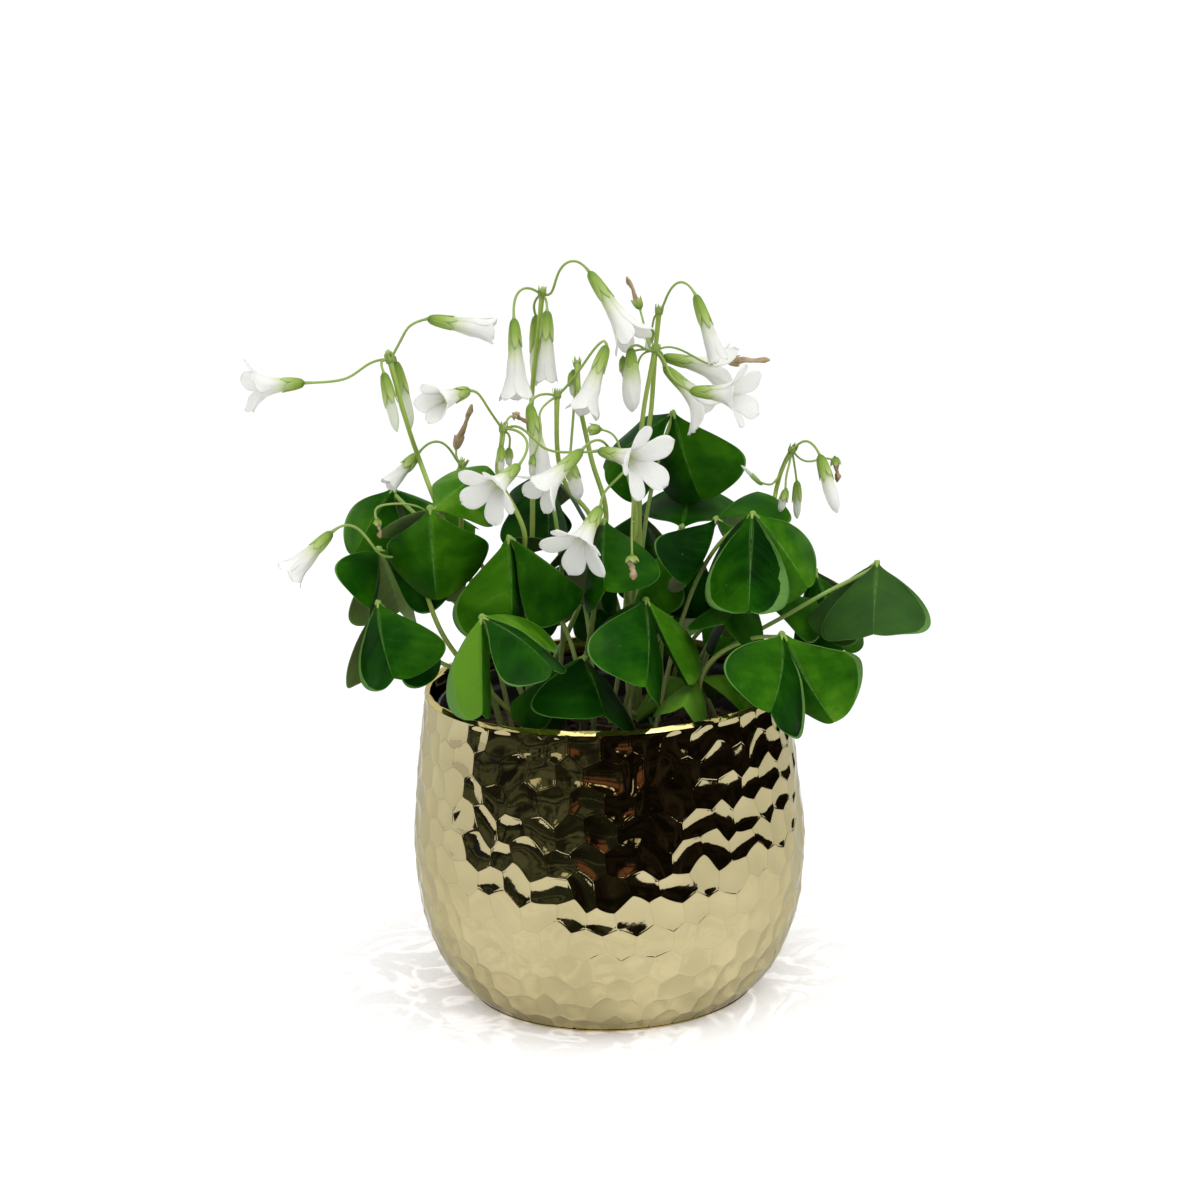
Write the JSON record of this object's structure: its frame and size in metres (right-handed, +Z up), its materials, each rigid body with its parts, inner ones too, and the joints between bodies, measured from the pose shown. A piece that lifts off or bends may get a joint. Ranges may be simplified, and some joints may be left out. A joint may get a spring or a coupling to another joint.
{
  "type": "potted oxalis",
  "caption": "Flowering oxalis plant with three-leaflet leaves and umbels of white trumpet flowers, in a nursery pot inside a hammered metallic cover pot.",
  "frame": {"origin": "centre of the cover pot's flat foot, on the surface it stands on", "axes": "+Z up along the pot's axis, -Y towards the front of the plant, +X to the right seen from the front"},
  "size_m": [0.2041, 0.1469, 0.2295],
  "materials": {
    "gold_glaze": "polished pale gold metallic glaze over a hammered surface",
    "black_plastic": "thin moulded black plastic, slight sheen",
    "potting_soil": "rough dark brown potting mix with bark and fibre",
    "leaf_green": "satin green leaf blade with pale margin and midrib",
    "stem_green": "smooth translucent yellow-green stalk",
    "petal_white": "thin translucent white petal, pale green at the base"
  },
  "bodies": {
    "root": {"cover_pot": "gold_glaze", "nursery_pot": "black_plastic", "soil": "potting_soil", "leaf_01": "leaf_green", "leaf_02": "leaf_green", "leaf_03": "leaf_green", "leaf_04": "leaf_green", "leaf_05": "leaf_green", "leaf_06": "leaf_green", "leaf_07": "leaf_green", "leaf_08": "leaf_green", "leaf_09": "leaf_green", "leaf_10": "leaf_green", "leaf_11": "leaf_green", "leaf_12": "leaf_green", "leaf_13": "leaf_green", "leaf_14": "leaf_green", "leaf_15": "leaf_green", "leaf_16": "leaf_green", "leaf_17": "leaf_green", "leaf_18": "leaf_green", "leaf_19": "leaf_green", "leaf_20": "leaf_green", "leaf_21": "leaf_green", "leaf_22": "leaf_green", "flower_stalk_01": "stem_green", "flower_stalk_02": "stem_green", "flower_stalk_03": "stem_green", "flower_stalk_04": "stem_green", "flower_stalk_05": "stem_green", "flower_stalk_06": "stem_green", "flower_stalk_07": "stem_green", "flower_stalk_08": "stem_green", "flower_stalk_09": "stem_green", "flower_stalk_10": "stem_green", "flower_stalk_11": "stem_green", "flower_01": "petal_white", "flower_02": "petal_white", "flower_bud_03": "petal_white", "flower_bud_04": "petal_white", "flower_05": "petal_white", "flower_06": "petal_white", "flower_07": "petal_white", "flower_08": "petal_white", "flower_09": "petal_white", "flower_bud_10": "petal_white", "flower_11": "petal_white", "flower_12": "petal_white", "flower_13": "petal_white", "flower_14": "petal_white", "flower_15": "petal_white", "flower_16": "petal_white", "flower_17": "petal_white", "flower_18": "petal_white", "flower_19": "petal_white", "flower_20": "petal_white", "flower_21": "petal_white", "flower_22": "petal_white", "flower_23": "petal_white", "flower_24": "petal_white"}
  },
  "joints": []
}
